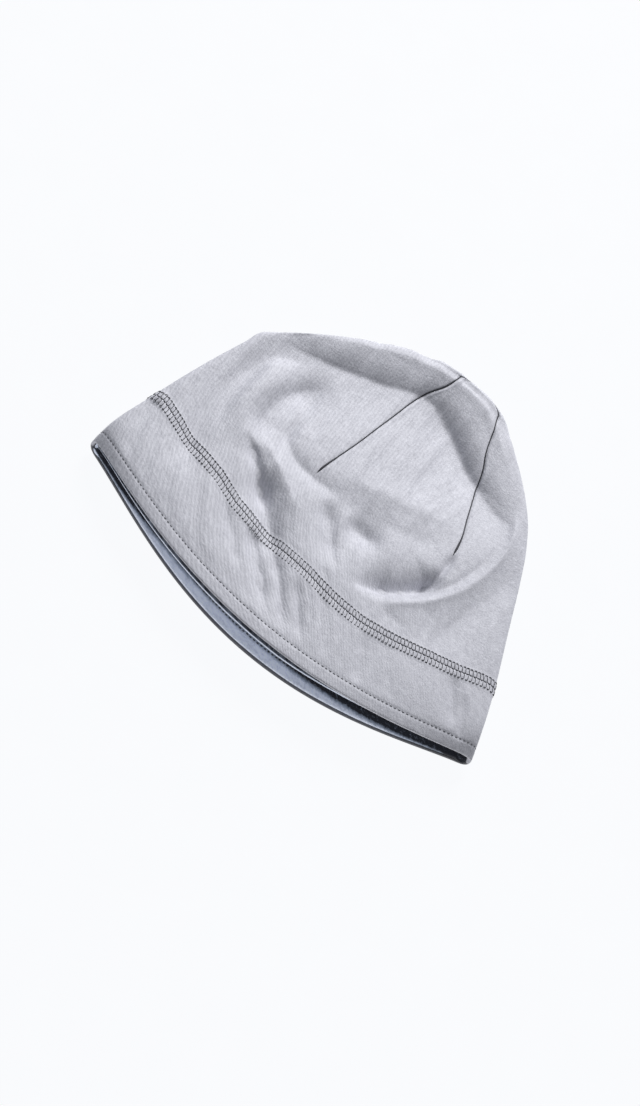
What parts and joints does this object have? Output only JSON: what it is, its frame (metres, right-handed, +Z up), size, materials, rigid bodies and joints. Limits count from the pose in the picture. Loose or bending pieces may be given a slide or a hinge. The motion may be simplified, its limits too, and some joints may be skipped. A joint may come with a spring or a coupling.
{
  "type": "thin jersey beanie",
  "caption": "Thin close-fitting jersey beanie with a lined lower panel and a darted crown, lying flat and slightly puffed out.",
  "frame": {"origin": "middle of the width and of the length, on the surface that the hat lies on", "axes": "+X across the opening, +Y from the opening towards the tip of the crown, +Z up from the surface"},
  "size_m": [0.2349, 0.1906, 0.0249],
  "materials": {
    "jersey": "fine smooth jersey, pale lavender grey, matt",
    "lining": "brushed inner face, pale bluish grey, matt",
    "thread": "dark charcoal sewing thread"
  },
  "bodies": {
    "root": {"crown": "jersey", "band": "jersey", "lining": "lining"}
  },
  "joints": []
}
